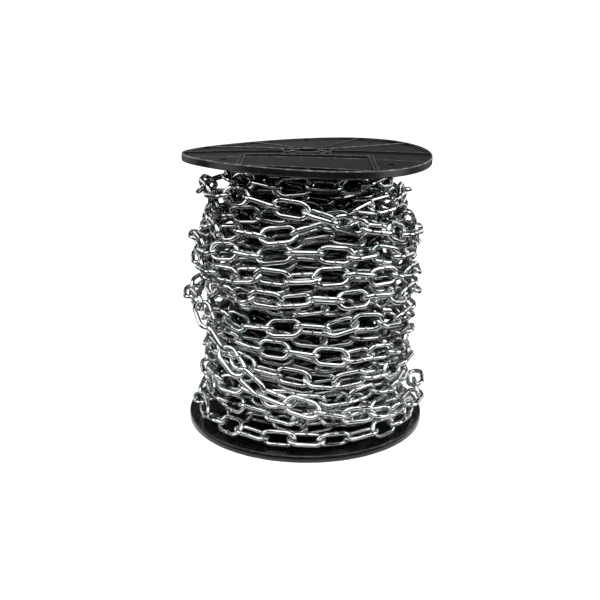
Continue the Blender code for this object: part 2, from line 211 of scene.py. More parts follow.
@dataclass(frozen=True)
class ZincPlate:
    """Bright zinc on drawn steel wire, with a thin passivation tint and a scorched weld."""

    name: str = "zinc_plate"
    steel: Colour = (0.66, 0.675, 0.665)
    blue: Colour = (0.50, 0.575, 0.575)
    straw: Colour = (0.66, 0.63, 0.54)
    scorched: Colour = (0.20, 0.18, 0.16)
    stain: Colour = (0.42, 0.20, 0.07)
    # Painted shade: the dark colour that links of the buried layers are mixed towards.
    buried: Colour = (0.05, 0.053, 0.056)
    straw_share: float = 0.55
    stain_share: float = 0.8
    gloss: float = 0.10
    cloud_dulling: float = 0.06
    weld_dulling: float = 0.22
    seat_dulling: float = 0.18
    stain_dulling: float = 0.3
    ripple: float = 0.00002

    def make(self) -> Material:
        """Makes the material from the point numbers weld, seat, tone and buried (painted shade)."""
        graph = Graph(self.name)
        weld, seat, tone, buried = map(graph.attribute, ("weld", "seat", "tone", "buried"))
        cloud = graph.noise(0.006)
        film = graph.noise(0.011, stretch=(1.0, 1.0, 0.6))
        speck = graph.noise(0.0011, detail=3.0)
        rare = graph.noise(0.009, detail=1.0).above(0.76, 0.78) * speck.above(0.50, 0.62)
        colour = graph.mix(tone.above(0.25, 0.9) * film.above(0.42, 0.62), self.steel, self.blue)
        straw = film.above(0.60, 0.72) * (1.0 - tone) * self.straw_share
        colour = graph.mix(straw, colour, self.straw)
        colour = graph.mix(weld * (0.35 + 0.4 * speck), colour, self.scorched)
        colour = graph.mix(rare * self.stain_share, colour, self.stain)
        # Painted shade: the buried layers are darkened by their buried number.
        colour = graph.mix(buried, colour, self.buried)
        rough = self.gloss + self.cloud_dulling * cloud.above(0.45, 0.75)
        rough = rough + self.weld_dulling * weld + self.seat_dulling * seat
        rough = rough + self.stain_dulling * rare
        relief = graph.bump(cloud, self.ripple)
        return graph.finish(
            {"Base Color": colour, "Metallic": 1.0, "Roughness": rough, "Normal": relief}
        )


@dataclass(frozen=True)
class MouldedPlastic:
    """Black moulded plastic with a fine grain, scuffs, dust in its corners and pale edges."""

    name: str = "moulded_plastic"
    black: Colour = (0.0010, 0.0010, 0.0011)
    # Pale grey for scuffs and worn edges, also painted highlight on edges and ribs that catch the
    # light.
    worn_and_lit: Colour = (0.125, 0.123, 0.118)
    dust: Colour = (0.08, 0.078, 0.074)
    patch_share: float = 0.008
    scuff_share: float = 0.12
    dust_share: float = 0.4
    gloss: float = 0.22
    blotch_dulling: float = 0.10
    scuff_dulling: float = 0.20
    wear_dulling: float = 0.15
    dust_dulling: float = 0.25
    refraction: float = 1.44
    grain_depth: float = 0.00003

    def make(self) -> Material:
        """Makes the material, which reads the point number of wear and painted highlight."""
        graph = Graph(self.name)
        wear_and_highlight = graph.attribute("wear_and_highlight")
        grain = graph.noise(0.0006, detail=3.0)
        blotch = graph.noise(0.016, detail=3.0)
        patch = graph.noise(0.004, detail=4.0)
        scratch = graph.noise(0.0004, 0.0, (22.0, 1.0, 1.0), 34.0).above(0.72, 0.76)
        cross = graph.noise(0.0004, 0.0, (17.0, 1.0, 1.0), -57.0).above(0.73, 0.77)
        scuff = (scratch * blotch.above(0.50, 0.60)).at_least(cross * patch.above(0.50, 0.60))
        dust = graph.noise(0.0009, detail=2.0).above(0.70, 0.78) * blotch.above(0.40, 0.62)
        colour = graph.mix(patch * self.patch_share, self.black, self.worn_and_lit)
        # Pale edges: partly wear, partly painted highlight where the light catches them.
        colour = graph.mix(wear_and_highlight * (0.3 + 0.7 * patch.above(0.40, 0.64)), colour, self.worn_and_lit)
        colour = graph.mix(scuff * self.scuff_share, colour, self.worn_and_lit)
        colour = graph.mix(dust * self.dust_share, colour, self.dust)
        rough = self.gloss + self.blotch_dulling * blotch + self.scuff_dulling * scuff
        rough = rough + self.wear_dulling * wear_and_highlight + self.dust_dulling * dust
        relief = graph.bump(grain - 0.7 * scuff + 0.5 * patch, self.grain_depth)
        return graph.finish(
            {"Base Color": colour, "Roughness": rough, "IOR": self.refraction, "Normal": relief}
        )


@dataclass(frozen=True)
class StudioPaper:
    """The plain pale sheet that the reel stands on."""

    name: str = "studio_paper"
    white: Colour = (0.93, 0.93, 0.93)

    def make(self) -> Material:
        """Makes the material."""
        graph = Graph(self.name)
        rough = 0.85 + 0.1 * graph.noise(0.002)
        return graph.finish(
            {"Base Color": (*self.white, 1.0), "Roughness": rough, "Specular IOR Level": 0.0}
        )


# Meshes


def around(radius: float, turn: float, height: float = 0.0) -> Triple:
    """The point at a radius and height, and a turn in radians from the front towards +X."""
    return radius * math.sin(turn), -radius * math.cos(turn), height


def ring_faces(rings: int, sides: int) -> np.ndarray:
    """Joins a closed round of sections, whose points are numbered section by section.

    Args:
        rings: how many sections there are.
        sides: how many points each has.

    Returns:
        The four points of each face, one row each.
    """
    here = np.arange(rings * sides).reshape(rings, sides)
    ahead = np.roll(here, -1, axis=0)
    corners = (here, np.roll(here, -1, axis=1), np.roll(ahead, -1, axis=1), ahead)
    return np.stack(corners, axis=2).reshape(-1, 4)


def new_object(
    name: str,
    points: np.ndarray,
    faces: np.ndarray,
    numbers: dict[str, np.ndarray],
    material: Material,
) -> Object:
    """Makes a smooth mesh object.

    Args:
        name: the object's name.
        points: its points, one row each.
        faces: the points of each face by number, one row each.
        numbers: named numbers that the material reads, one for each point.
        material: its material.

    Returns:
        The object, linked to the scene.
    """
    mesh = bpy.data.meshes.new(name)
    mesh.from_pydata(points.tolist(), [], faces.tolist())
    for word, values in numbers.items():
        held = mesh.attributes.new(word, "FLOAT", "POINT")
        held.data.foreach_set("value", np.asarray(values, np.float32))
    mesh.set_sharp_from_angle(angle=SHARP_EDGE)
    mesh.materials.append(material)
    thing = bpy.data.objects.new(name, mesh)
    bpy.context.scene.collection.objects.link(thing)
    return thing


def part_piece(thing: Object, slot: str, *nodes: str) -> None:
    """Makes an object part of the reel.

    Args:
        thing: the object.
        slot: the record's material slot for its finish; not used.
        *nodes: the CAD nodes that it stands for.
    """
    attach(thing, BODY)
    if nodes:
        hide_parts(*nodes)
    log.info("%s: %d points", thing.name, len(thing.data.vertices))


# The chain


class Detail(Enum):
    """How finely a link is built: its wire's sides, the steps of its bends, and its weld."""

    SHOWN = (12, 7, 3, True)
    GLIMPSED = (10, 4, 2, False)
    DEEP = (8, 3, 1, False)

    def __init__(self, sides: int, shoulder_steps: int, tip_steps: int, weld: bool) -> None:
        """Names the four values."""
        self.sides = sides
        self.shoulder_steps = shoulder_steps
        self.tip_steps = tip_steps
        self.weld = weld


@dataclass(frozen=True)
class LinkForm:
    """A link bent from round wire: straight in the middle of each side, with oval ends.

    Each end is a tight tip between two wider shoulders. One side holds the butt weld: two low
    ridges of flash with a groove between them.
    """

    wire: float = 0.0045
    pitch: float = 0.0275
    width: float = 0.0194
    tip_radius: float = 0.0052
    shoulder_radius: float = 0.0090
    weld_places: tuple[float, ...] = (0.0, 0.0004, 0.0008, 0.0013, 0.0024)
    weld_swell: tuple[float, ...] = (0.03, 0.13, 0.05, 0.01, 0.0)
    weld_tint: tuple[float, ...] = (1.0, 0.9, 0.6, 0.25, 0.0)
    seat_start: float = 0.6

    def quarter(self, detail: Detail) -> list[Triple]:
        """The wire's middle line from the start of a shoulder to the tip.

        Args:
            detail: how many steps each bend has.

        Returns:
            X, Y and the heading in degrees of each point.
        """
        tip = 0.5 * (self.pitch + self.wire) - self.tip_radius
        shoulder = 0.5 * (self.width - self.wire) - self.shoulder_radius
        meet = math.acos(-shoulder / (self.shoulder_radius - self.tip_radius))
        start = tip - (self.shoulder_radius - self.tip_radius) * math.sin(meet)
        path = []
        for step in range(detail.shoulder_steps):
            turn = meet * step / detail.shoulder_steps
            x = start + self.shoulder_radius * math.sin(turn)
            y = shoulder + self.shoulder_radius * math.cos(turn)
            path.append((x, y, -math.degrees(turn)))
        for step in range(detail.tip_steps + 1):
            turn = meet + (0.5 * math.pi - meet) * step / detail.tip_steps
            x, y = tip + self.tip_radius * math.sin(turn), self.tip_radius * math.cos(turn)
            path.append((x, y, -math.degrees(turn)))
        return path

    def middle_line(self, detail: Detail) -> list[tuple[float, ...]]:
        """The middle line all round, clockwise.

        Args:
            detail: how many steps each bend has, and whether there is a weld.

        Returns:
            X, Y, heading, swell and weld tint of each point.
        """
        half = 0.5 * (self.width - self.wire)
        first = self.quarter(detail)
        end = first + [(x, -y, -180 - turn) for x, y, turn in reversed(first[:-1])]
        other = [(-x, -y, turn - 180) for x, y, turn in end]
        plain = [(x, y, turn, 0.0, 0.0) for x, y, turn in end + other]
        if not detail.weld:
            return plain
        marks = list(zip(self.weld_places, self.weld_swell, self.weld_tint))
        before = [(-x, half, 0.0, swell, tint) for x, swell, tint in reversed(marks[1:])]
        after = [(x, half, 0.0, swell, tint) for x, swell, tint in marks]
        return before + after + plain

    def build(self, detail: Detail) -> "LinkMesh":
        """Makes a link round the origin, with its length along X and its width along Y."""
        line, sides = self.middle_line(detail), detail.sides
        points, weld, seat = [], [], []
        for x, y, heading, swell, tint in line:
            turn = math.radians(heading)
            out = (-math.sin(turn), math.cos(turn))
            radius = 0.5 * self.wire * (1 + swell)
            tip = max(0.0, abs(math.sin(turn)) - self.seat_start) / (1 - self.seat_start)
            for side in range(sides):
                round_wire = 2 * math.pi * side / sides
                outward, height = radius * math.cos(round_wire), radius * math.sin(round_wire)
                points.append((x + out[0] * outward, y + out[1] * outward, height))
                weld.append(tint)
                seat.append(tip * max(0.0, -math.cos(round_wire)) ** 2)
        faces = ring_faces(len(line), sides)
        return LinkMesh(np.array(points), faces, np.array(weld), np.array(seat))


class LinkMesh(NamedTuple):
    """A link's points and faces, and the weld and seat numbers of its points."""

    points: np.ndarray
    faces: np.ndarray
    weld: np.ndarray
    seat: np.ndarray


class Link(NamedTuple):
    """A link's middle, the way it runs, the way its width points, and its angle on the route."""

    middle: Vector
    run: Vector
    side: Vector
    angle: float


@dataclass(frozen=True)
class Turn:
    """One turn of the chain: its height and radius in millimetres at each column angle.

    flat_at is the angle of one link's middle, and flat_roll how far that link is rolled from flat.
    """

    heights: tuple[float, ...]
    radii: tuple[float, ...]
    flat_at: float
    flat_roll: float


def stations(turns: Sequence[Turn]) -> tuple[list[float], list[float]]:
    """Reads turns at every station, on straight lines between their columns.

    Args:
        turns: the turns, in order down the reel.

    Returns:
        The heights and the radii.
    """
    angles = [360 * turn + angle for turn in range(len(turns)) for angle in COLUMN_ANGLES]
    places = range(angles[0], angles[-1] + 1, STATION_STEP)
    heights = np.interp(places, angles, [value for turn in turns for value in turn.heights])
    radii = np.interp(places, angles, [value for turn in turns for value in turn.radii])
    return heights.tolist(), radii.tolist()


def smooth(values: Sequence[float], place: float) -> float:
    """Reads a Catmull-Rom curve through evenly spaced values, at a place counted in steps."""
    last = len(values) - 1
    index = min(max(int(place), 0), last - 1)
    step = place - index
    before, start, end, after = (values[min(max(index + k, 0), last)] for k in (-1, 0, 1, 2))
    return 0.5 * (
        2 * start
        + (end - before) * step
        + (2 * before - 5 * start + 4 * end - after) * step**2
        + (3 * start - before - 3 * end + after) * step**3
    )


class Route:
    """The middle line of a chain that winds round the reel."""

    def __init__(
        self,
        heights: Sequence[float],
        radii: Sequence[float],
        start: float = COLUMN_ANGLES[0],
        end: float | None = None,
    ) -> None:
        """Takes a height and a radius in millimetres for every station.

        Args:
            heights: the heights.
            radii: the radii.
            start: the angle at which the chain begins.
            end: the angle at which it ends, or None for the last station's.
        """
        if end is None:
            end = COLUMN_ANGLES[0] + STATION_STEP * (len(heights) - 1)
        self.heights, self.radii = heights, radii
        self.angles = [start + degree for degree in range(int(end - start) + 1)]
        places = [self.point(angle) for angle in self.angles]
        self.lengths = [0.0]
        for before, here in zip(places, places[1:]):
            self.lengths.append(self.lengths[-1] + (here - before).length)

    def point(self, angle: float) -> Vector:
        """The point of the route at an angle round the reel."""
        place = (angle - COLUMN_ANGLES[0]) / STATION_STEP
        radius, height = smooth(self.radii, place) * MM, smooth(self.heights, place) * MM
        return Vector(around(radius, math.radians(angle), height))

    def length_at(self, angle: float) -> float:
        """How much chain lies before an angle."""
        return float(np.interp(angle, self.angles, self.lengths))

    def angle_at(self, length: float) -> float:
        """The angle at which a length of chain ends."""
        return float(np.interp(length, self.lengths, self.angles))

    def joint(self, number: int, length: float) -> Vector:
        """Finds where two links meet: a point of the route, a little astray.

        Args:
            number: the number of the second link.
            length: how much chain lies before the joint.

        Returns:
            The joint.
        """
        point = self.point(self.angle_at(length))
        outward = Vector((point.x, point.y, 0)).normalized()
        rise, push = (math.sin(rate * number + phase) for rate, phase in JOINT_WAVES)
        return point + JOINT_SCATTER * (rise * Vector((0, 0, 1)) + push * outward)

    def link(self, number: int, length: float, spacing: float, roll: float) -> Link:
        """Places one link.

        Args:
            number: its number, which gives it a lean of its own.
            length: how much chain lies before its middle.
            spacing: how far the links are apart.
            roll: how far it is rolled from flat, in degrees.

        Returns:
            The link.
        """
        back = self.joint(number, length - 0.5 * spacing)
        front = self.joint(number + 1, length + 0.5 * spacing)
        middle, run = (back + front) / 2, (front - back).normalized()
        outward = Vector((middle.x, middle.y, 0))
        outward = (outward - outward.dot(run) * run).normalized()
        lean = sum(share * math.sin(rate * number + phase) for share, rate, phase in ROLL_WAVES)
        tilt = math.radians(roll + ROLL_SCATTER * lean)
        side = math.cos(tilt) * outward.cross(run) + math.sin(tilt) * outward
        return Link(middle, run, side, self.angle_at(length))


def link_places(route: Route, turns: Sequence[Turn], pitch: float) -> Iterator[Triple]:
    """Spaces the links so that each turn has one at its own angle and roll.

    Args:
        route: the chain's middle line.
        turns: its turns.
        pitch: the length inside a link.

    Yields:
        The length before the link's middle, the spacing and the roll of each link.
    """
    marks = [(route.length_at(360 * n + t.flat_at), t.flat_roll) for n, t in enumerate(turns)]
    first, last = marks[0], marks[-1]
    for count in range(int((first[0] - 0.5 * pitch) / pitch), 0, -1):
        yield first[0] - count * pitch, pitch, first[1] - 90 * count
    for (start, roll), (end, end_roll) in zip(marks, marks[1:]):
        count = math.ceil((end - start) / pitch)
        spare = (end_roll - roll - 90 * count + 90) % 180 - 90
        for number in range(count):
            share = number / count
            place = start + share * (end - start)
            yield place, (end - start) / count, roll + 90 * number + spare * share
    for count in range(int((route.lengths[-1] - last[0] - 0.5 * pitch) / pitch) + 1):
        yield last[0] + count * pitch, pitch, last[1] + 90 * count


def chain_piece(
    name: str,
    links: Sequence[Link],
    shape: LinkMesh,
    first: int,
    material: Material,
    buried: float = 0.0,
) -> Object:
    """Makes one stretch of chain as a joined mesh of links.

    Args:
        name: the piece's name.
        links: where its links lie.
        shape: the link's mesh.
        first: the number of its first link, which sets each link's tone and weld side.
        material: the chain's material.
        buried: how far painted shade darkens it, from 0 to 1.

    Returns:
        The piece.
    """
    count, size = len(links), len(shape.points)
    points = []
    for number, link in enumerate(links, first):
        across = link.side if int(number / GOLDEN) % 2 else -link.side
        axes = np.array((link.run, across, link.run.cross(across)))
        points.append(shape.points @ axes + np.array(link.middle))
    faces = np.concatenate([shape.faces + size * k for k in range(count)])
    numbers = {
        "weld": np.tile(shape.weld, count),
        "seat": np.tile(shape.seat, count),
        "tone": np.repeat(np.arange(first, first + count) * GOLDEN % 1.0, size),
        # Painted shade, the same for every point of the piece.
        "buried": np.full(count * size, buried),
    }
    return new_object(name, np.concatenate(points), faces, numbers, material)


# The outer turns from the top down, and the two turns of the loose end.
WOUND_TURNS = (
    Turn((248, 248, 249, 249, 249, 248, 247, 240), (76, 76, 76, 76, 76, 76, 80, 93), -9, 0),
    Turn((238, 240, 241, 231, 216, 203, 200, 201), (100, 102, 104, 106, 110, 110, 106, 90), -8, 0),
    Turn((205, 206, 208, 214, 225, 231, 232, 216), (95, 101, 105, 100, 90, 92, 94, 114), 1, 45),
    Turn((187, 187, 191, 194, 191, 183, 180, 180), (108, 106, 104, 104, 104, 105, 105, 106), 14, 0),
    Turn((167, 167, 171, 173, 171, 163, 160, 160), (106, 107, 105, 105, 105, 106, 107, 106), 12, 0),
    Turn((148, 148, 151, 152, 151, 144, 138, 122), (98, 100, 104, 106, 106, 107, 107, 107), 9, 45),
    Turn((117, 119, 121, 123, 126, 121, 116, 105), (97, 96, 95, 100, 102, 103, 103, 102), 3, 45),
    Turn((99, 102, 102, 99, 94, 92, 91, 86), (98, 94, 94, 99, 101, 103, 103, 103), 13, 0),
    Turn((79, 80, 80, 73, 72, 71, 71, 66), (97, 94, 94, 97, 101, 103, 103, 103), 24, 0),
    Turn((57, 56, 54, 50, 52, 50, 50, 46), (101, 99, 96, 94, 94, 97, 100, 100), -15, -45),
    Turn((38, 37, 37, 33, 33, 32, 32, 26), (98, 97, 97, 97, 96, 96, 96, 101), -14, -45),
    Turn((18, 18, 19, 18, 18, 18, 18, 18), (108, 108, 109, 110, 110, 110, 108, 100), 14, 0),
)
LOOSE_TURNS = (
    Turn((139, 139, 138, 138, 138, 138, 138, 138), (87, 87, 87, 87, 87, 87, 87, 92), -15, 0),
    Turn((134, 130, 76, 51, 40, 35, 35, 35), (113, 115, 114, 114, 115, 116, 116, 116), -2, 0),
)


@dataclass
class OuterChain:
    """The chain that shows: twelve wound turns, and the loose end that falls across the front."""

    material: Material
    form: LinkForm = LinkForm()
    wound_start: float = -172.0
    wound_end: float = 100.0
    loose_start: float = -52.0
    loose_end: float = 112.0
    wound: tuple[Turn, ...] = WOUND_TURNS
    loose: tuple[Turn, ...] = LOOSE_TURNS

    def turns_in_order(self) -> tuple[list[float], list[float]]:
        """Heights and radii at every station, with turns that cross put in order of height."""
        heights, radii = stations(self.wound)
        for first in range(TURN_STATIONS):
            column = slice(first, None, TURN_STATIONS)
            pairs = sorted(zip(heights[column], radii[column]), reverse=True)
            heights[column], radii[column] = zip(*pairs)
        return heights, radii

    def links(self, turns: Sequence[Turn], start: float, end: float) -> list[Link]:
        """Lays links along some turns.

        Args:
            turns: the turns, in order down the reel.
            start: the angle at which the first link begins.
            end: the angle at which the last one ends.

        Returns:
            The links.
        """
        route = Route(*stations(turns), start, end)
        places = link_places(route, turns, self.form.pitch)
        return [route.link(number, *place) for number, place in enumerate(places)]

    def build(self) -> None:
        """Builds a piece for each turn and one for the loose end, which stand for their nodes."""
        shape = self.form.build(Detail.SHOWN)
        end = 360 * (len(self.wound) - 1) + self.wound_end
        links = self.links(self.wound, self.wound_start, end)
        laid = 0
        for number in range(len(self.wound)):
            low, high = 360 * number - 180, 360 * number + 180
            turn = [link for link in links if low <= link.angle < high]
            name = f"turn_{number + 1:02d}"
            piece = chain_piece(f"links_of_{name}", turn, shape, laid, self.material)
            part_piece(piece, CHAIN_SLOT, f"chain_{name}")
            laid += len(turn)
        loose = self.links(self.loose, self.loose_start, 360 + self.loose_end)
        piece = chain_piece("links_of_free_run", loose, shape, laid, self.material)
        part_piece(piece, CHAIN_SLOT, "chain_free_run")


@dataclass
class BuriedLayer:
    """A layer of chain under the outer one, along a route of its own.

    Each link is rolled a quarter turn on from the last, starting from roll in degrees.
    """

    chain: OuterChain
    name: str
    detail: Detail
    # Painted shade: how far the layer's colour is darkened, from 0 to 1.
    painted_shade: float
    roll: float
    route: Route

    def build(self) -> Object:
        """Builds the layer as one piece."""
        form = self.chain.form
        count = int(self.route.lengths[-1] / form.pitch) - 1
        links = [
            self.route.link(n, (n + 0.5) * form.pitch, form.pitch, 90 * n + self.roll)
            for n in range(1, count)
        ]
        shape, material = form.build(self.detail), self.chain.material
        return chain_piece(self.name, links, shape, 0, material, self.painted_shade)


@dataclass
class BuriedChain:
    """The turns under the outer ones, which show only through the gaps between links.

    The second layer lies in the hollows between the outer turns, and dips further in at the first
    and the sixth. Those below it are wound evenly from flange to flange. Heights, radii and
    depths are in millimetres, and rolls in degrees.
    """

    chain: OuterChain
    second_depth: float = 9.5
    side_swell: float = 5.0
    dips: tuple[tuple[int, float], ...] = ((0, 11.0), (5, 13.0))
    inner_radii: tuple[float, ...] = (72.0, 60.0, 48.0)
    top: float = 251.0
    bottom: float = 17.0
    spacing: float = 19.0
    sway_rate: float = 1.7
    neck: float = 5.0
    neck_turns: float = 2.0
    # Painted shade on the second layer, and on those below it: how far their colour is darkened.
    second_painted_shade: float = 0.5
    second_roll: float = 30.0
    inner_painted_shade: float = 0.9
    inner_roll: float = 40.0

    def second_route(self) -> Route:
        """Follows the outer turns half a turn's spacing lower and deeper in, less at the sides."""
        heights, radii = (
            [0.5 * (a + b) for a, b in zip(values, values[TURN_STATIONS:])]
            for values in self.chain.turns_in_order()
        )
        dips = dict(self.dips)
        for station in range(len(radii)):
            angle = math.radians(STATION_STEP * station + COLUMN_ANGLES[0])
            radii[station] += self.side_swell * math.sin(angle) ** 4
            radii[station] -= self.second_depth + dips.get(station // TURN_STATIONS, 0.0)
        return Route(heights, radii)

    def inner_route(self, radius: float) -> Route:
        """Winds evenly down the reel at a radius, a little closer in under the top flange."""
        count = int((self.top - self.bottom) / self.spacing * TURN_STATIONS)
        heights = [self.top - self.spacing * k / TURN_STATIONS for k in range(count)]
        fade = self.neck_turns * TURN_STATIONS
        radii = [
            radius + math.sin(self.sway_rate * k) - self.neck * max(0.0, 1 - k / fade)
            for k in range(count)
        ]
        return Route(heights, radii)

    def build(self) -> None:
        """Builds the layers. The second one stands for the core's node."""
        # Painted shade: the second layer is darkened less than the deeper ones.
        name, painted_dark, roll = "links_of_second_layer", self.second_painted_shade, self.second_roll
        route = self.second_route()
        layer = BuriedLayer(self.chain, name, Detail.GLIMPSED, painted_dark, roll, route)
        part_piece(layer.build(), CHAIN_SLOT, "chain_core")
        for number, radius in enumerate(self.inner_radii, 3):
            name, painted_dark, roll = f"links_of_layer_{number}", self.inner_painted_shade, self.inner_roll
            route = self.inner_route(radius)
            layer = BuriedLayer(self.chain, name, Detail.DEEP, painted_dark, roll * number, route)
            part_piece(layer.build(), CHAIN_SLOT)


# The reel


class Corner(NamedTuple):
    """A corner of a section: its place across, height, rounding, and wear and painted highlight."""

    across: float
    height: float
    rounding: float = 0.0
    wear_and_highlight: float = 0.0


def rounded_outline(corners: Sequence[Corner], steps: int = 3, fade: float = 1.5) -> list[Triple]:
    """Rounds the corners of a closed section, and ends each one's pale edge close beside it.

    Args:
        corners: the corners in order.
        steps: how many short edges each rounding has.
        fade: how far from the corner its pale edge ends, as a share of its rounding.

    Returns:
        Place across, height and wear of each point.
    """
    found = []
    for before, here, after in zip((corners[-1], *corners), corners, (*corners[1:], corners[0])):
        middle = Vector((here.across, here.height))
        if not here.rounding:
            found.append((*middle, here.wear_and_highlight))
            continue
        back = (Vector((before.across, before.height)) - middle).normalized()
        ahead = (Vector((after.across, after.height)) - middle).normalized()
        found.append((*(middle + back * (fade * here.rounding)), 0.0))
        for step in range(steps + 1):
            turn = 0.5 * math.pi * step / steps
            drift = back * (1 - math.sin(turn)) + ahead * (1 - math.cos(turn))
            found.append((*(middle + drift * here.rounding), here.wear_and_highlight))
        found.append((*(middle + ahead * (fade * here.rounding)), 0.0))
    return found


@dataclass(frozen=True)
class Rib:
    """A stiffening rib with a rounded top, standing on a flange's web.

    It runs from its start to its end, both in the flange's own X and Y.
    """

    start: tuple[float, float]
    end: tuple[float, float]
    width: float
    bottom: float
    top: float
    steps: int = 16
    # Wear and painted highlight on the rib's rounded top edges.
    wear_and_highlight: float = 0.5
    rounding: float = 0.0004

    def add_to(self, shape: bmesh.types.BMesh, wear_and_highlight: Any) -> None:
        """Adds the rib to a flange's mesh, with the wear and painted highlight of its edges."""
        half = 0.5 * self.width
        outline = rounded_outline(
            [
                Corner(-half, self.bottom),
                Corner(half, self.bottom),
                Corner(half, self.top, self.rounding, self.wear_and_highlight),
                Corner(-half, self.top, self.rounding, self.wear_and_highlight),
            ],
            steps=2,
        )
        start, end = Vector((*self.start, 0)), Vector((*self.end, 0))
        across = (end - start).normalized().cross(Vector((0, 0, 1)))
        rings = []
        for step in range(self.steps + 1):
            middle = start.lerp(end, step / self.steps)
            ring = []
            for place, height, worn_and_lit in outline:
                point = shape.verts.new(middle + place * across + Vector((0, 0, height)))
                point[wear_and_highlight] = worn_and_lit
                ring.append(point)
            rings.append(ring)
        for ring, after in zip(rings, rings[1:]):
            for k in range(len(ring)):
                shape.faces.new((ring[k - 1], after[k - 1], after[k], ring[k]))
        shape.faces.new(rings[0])
        shape.faces.new(reversed(rings[-1]))


class FlangeEnd(Enum):
    """The two ends of the reel: the node that the flange stands for, its warp and its dome."""

    TOP = ("top_flange", 0.40, 0.0024)
    BOTTOM = ("bottom_flange", 0.0, 0.0)

    def __init__(self, node: str, warp: float, dome: float) -> None:
        """Names the three values."""
        self.node = node
        self.warp = warp
        self.dome = dome


@dataclass
class Flange:
    """A moulded flange, built with its open face up and its winding face at height 0.

    Spokes and cuts run into what they meet by the sink. A rib starts that share of the web's
    height above the winding face, and ends that share of the rim's width inside its edge.
    """

    end: FlangeEnd
    material: Material
    radius: float = 0.120
    thickness: float = 0.007
    web: float = 0.0052
    rim_width: float = 0.0024
    hub_radius: float = 0.024
    bore_radius: float = 0.013
    groove_depth: float = 0.0028
    lip_width: float = 0.0022
    spigot_outer: float = 0.0352
    spigot_wall: float = 0.003
    spigot_height: float = 0.006
    reel_height: float = 0.270
    rib_width: float = 0.002
    rib_height: float = 0.0068
    rib_start: float = 0.6
    rib_end: float = 0.4
    spoke_angles: tuple[int, ...] = (90, 121, 151, 209, 239, 270)
    # Wear and painted highlight on each spoke: those that catch the light are paler.
    spoke_wear_and_highlight: tuple[float, ...] = (0.2, 1.0, 0.3, 0.6, 1.0, 0.2)
    hub_ticks: tuple[int, ...] = (66, 118, 242, 294)
    tick_inset: float = 0.0015
    sink: float = 0.001
    panel_half_width: float = 0.059
    panel_side_width: float = 0.0042
    panel_side_reach: float = 0.006
    panel_front: float = 0.103
    panel_back: float = 0.031
    panel_line: float = 0.041
    panel_line_height: float = 0.0003
    pocket_floor: float = 0.0012
    pocket_insets: tuple[float, float] = (0.0004, 0.0006)
    pocket_steps: int = 40
    gate_nub: tuple[float, float] = (0.0034, 0.0075)
    tie_hole_radius: float = 0.0034
    tie_hole_circle: float = 0.098
    tie_hole_angles: tuple[float, ...] = (50.0, 137.0, 223.0, 310.0)
    pin_hole: Triple = (-0.069, -0.007, 0.0024)
    hole_sides: int = 24
    round_steps: int = 144
    web_shares: tuple[float, ...] = (0.15, 0.3, 0.45, 0.6, 0.75, 0.9)
    under_shares: tuple[float, ...] = (0.1, 0.25, 0.4, 0.55, 0.7, 0.85)

    def section(self) -> list[Corner]:
        """The flange's section, with soft corners and a groove in the hub's face.

        The web and the winding face have points along them, which let them bend.
        """
        bore, hub, outer = self.bore_radius, self.hub_radius, self.radius
        spigot, inner = self.spigot_outer, self.spigot_outer - self.spigot_wall
        rim = outer - self.rim_width
        top, web, low, lip = self.thickness, self.web, -self.spigot_height, self.lip_width
        groove = top - self.groove_depth
        # The fourth number of a row is its wear and painted highlight.
        rows = [
            (bore, top, 0.0005, 1.0),
            (bore + lip, top, 0.0004, 0.8),
            (bore + lip, groove, 0.0003),
            (hub - lip, groove, 0.0003),
            (hub - lip, top, 0.0004, 0.2),
            (hub, top, 0.0005, 0.3),
            (hub, web, 0.0005),
            *((hub + share * (rim - hub), web) for share in self.web_shares),
            (rim, web, 0.0006),
            (rim, top, 0.0005, 0.25),
            (outer, top, 0.0007, 0.9),
            (outer, 0.0, 0.0008, 0.2),
            *((outer + share * (spigot - outer), 0.0) for share in self.under_shares),
            (spigot, 0.0, 0.0003),
            (spigot, low, 0.0005),
            (inner, low, 0.0005),
            (inner, 0.0, 0.0003),
            (bore, 0.0, 0.0004),
        ]
        return [Corner(*row) for row in rows]

    def blank(self) -> Object:
        """Turns the section round the axis, as one closed mesh."""
        outline = rounded_outline(self.section())
        points, wear_and_highlight = [], []
        for step in range(self.round_steps):
            turn = 2 * math.pi * step / self.round_steps
            for radius, height, worn_and_lit in outline:
                points.append(around(radius, turn, height))
                wear_and_highlight.append(worn_and_lit)
        faces = ring_faces(self.round_steps, len(outline))
        name, numbers = self.end.node + "_moulding", {"wear_and_highlight": np.array(wear_and_highlight)}
        return new_object(name, np.array(points), faces, numbers, self.material)

    def holes(self) -> Iterator[Triple]:
        """The X, Y and radius of each tie hole, and of the pin hole beside the hub."""
        for angle in self.tie_hole_angles:
            x, y, _ = around(self.tie_hole_circle, math.radians(angle))
            yield x, y, self.tie_hole_radius
        yield self.pin_hole

    def add_pocket(self, shape: bmesh.types.BMesh) -> None:
        """Adds the deep pocket between the front panel and the rim to the cutters' mesh."""
        radius = self.radius - self.rim_width - self.pocket_insets[0]
        reach = math.acos((self.panel_front + self.pocket_insets[1]) / radius)
        turns = (reach * (2 * k / self.pocket_steps - 1) for k in range(self.pocket_steps + 1))
        floor = shape.faces.new(
            [shape.verts.new(around(radius, turn, self.pocket_floor)) for turn in turns]
        )
        raised = bmesh.ops.extrude_face_region(shape, geom=[floor])["geom"]
        top = [item for item in raised if isinstance(item, bmesh.types.BMVert)]
        bmesh.ops.translate(shape, verts=top, vec=(0, 0, 2 * self.thickness))

